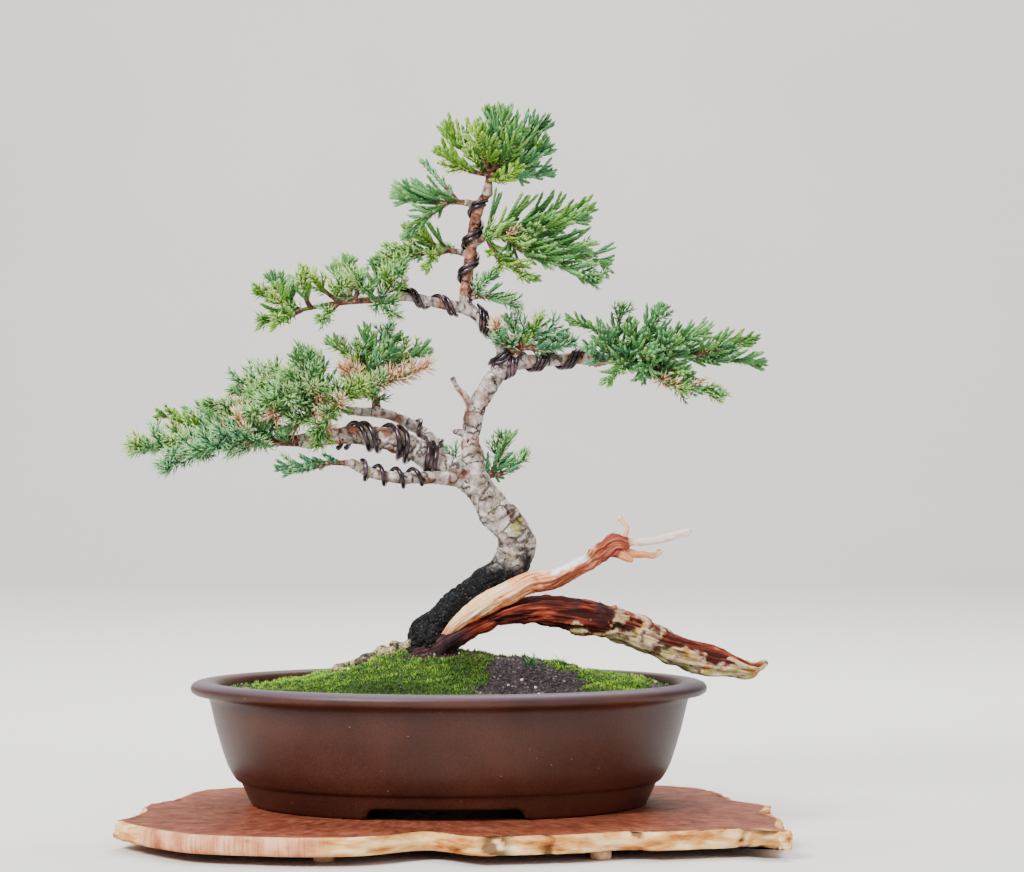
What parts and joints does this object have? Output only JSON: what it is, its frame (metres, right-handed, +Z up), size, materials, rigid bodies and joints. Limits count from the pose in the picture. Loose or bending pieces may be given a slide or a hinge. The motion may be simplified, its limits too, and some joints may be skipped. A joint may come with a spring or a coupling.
{
  "type": "juniper bonsai",
  "caption": "Windswept juniper bonsai with a bent trunk, stripped deadwood and wired branches with needle pads, in an oval stoneware pot on a burl slab.",
  "frame": {"origin": "on the surface that the slab's feet stand on, under the middle of the whole object's box", "axes": "+Z up along the tree; the front, from which it is meant to be seen, faces -Y; the long left branch reaches to -X and the deadwood to +X"},
  "size_m": [0.293, 0.2078, 0.3316],
  "materials": {
    "burl_wood": "satin, oiled burl figure",
    "slab_foot_wood": "matte turned wood",
    "brown_stoneware": "matte unglazed stoneware, a little sheen on the lip",
    "drain_mesh": "matte",
    "mossy_soil": "rough dark gravel and moss",
    "juniper_wood": "black wet bark, cracked pale bark and stripped cream and red deadwood",
    "anodised_wire": "satin dark brown anodised",
    "juniper_foliage": "matte needles and scale-clad twigs"
  },
  "bodies": {
    "root": {"burl_slab": "burl_wood", "slab_foot_1": "slab_foot_wood", "slab_foot_2": "slab_foot_wood", "slab_foot_3": "slab_foot_wood", "slab_foot_4": "slab_foot_wood", "pot": "brown_stoneware", "drain_screen_left": "drain_mesh", "drain_screen_right": "drain_mesh", "soil": "mossy_soil", "trunk_and_branches": "juniper_wood", "wire_left_branch": "anodised_wire", "wire_left_lower": "anodised_wire", "wire_left_second": "anodised_wire", "wire_right_branch": "anodised_wire", "wire_trunk_bend": "anodised_wire", "wire_apex_lower": "anodised_wire", "wire_apex_upper": "anodised_wire", "foliage_apex": "juniper_foliage", "foliage_upper_left": "juniper_foliage", "foliage_middle_left": "juniper_foliage", "foliage_upper_right": "juniper_foliage", "foliage_inner_right": "juniper_foliage", "foliage_left_second": "juniper_foliage", "foliage_mid_left": "juniper_foliage", "foliage_left_ridge": "juniper_foliage", "foliage_left_tip": "juniper_foliage", "foliage_left_under": "juniper_foliage", "foliage_right_inner": "juniper_foliage", "foliage_right_pad": "juniper_foliage", "foliage_behind_trunk": "juniper_foliage", "foliage_behind_fork": "juniper_foliage"}
  },
  "joints": []
}
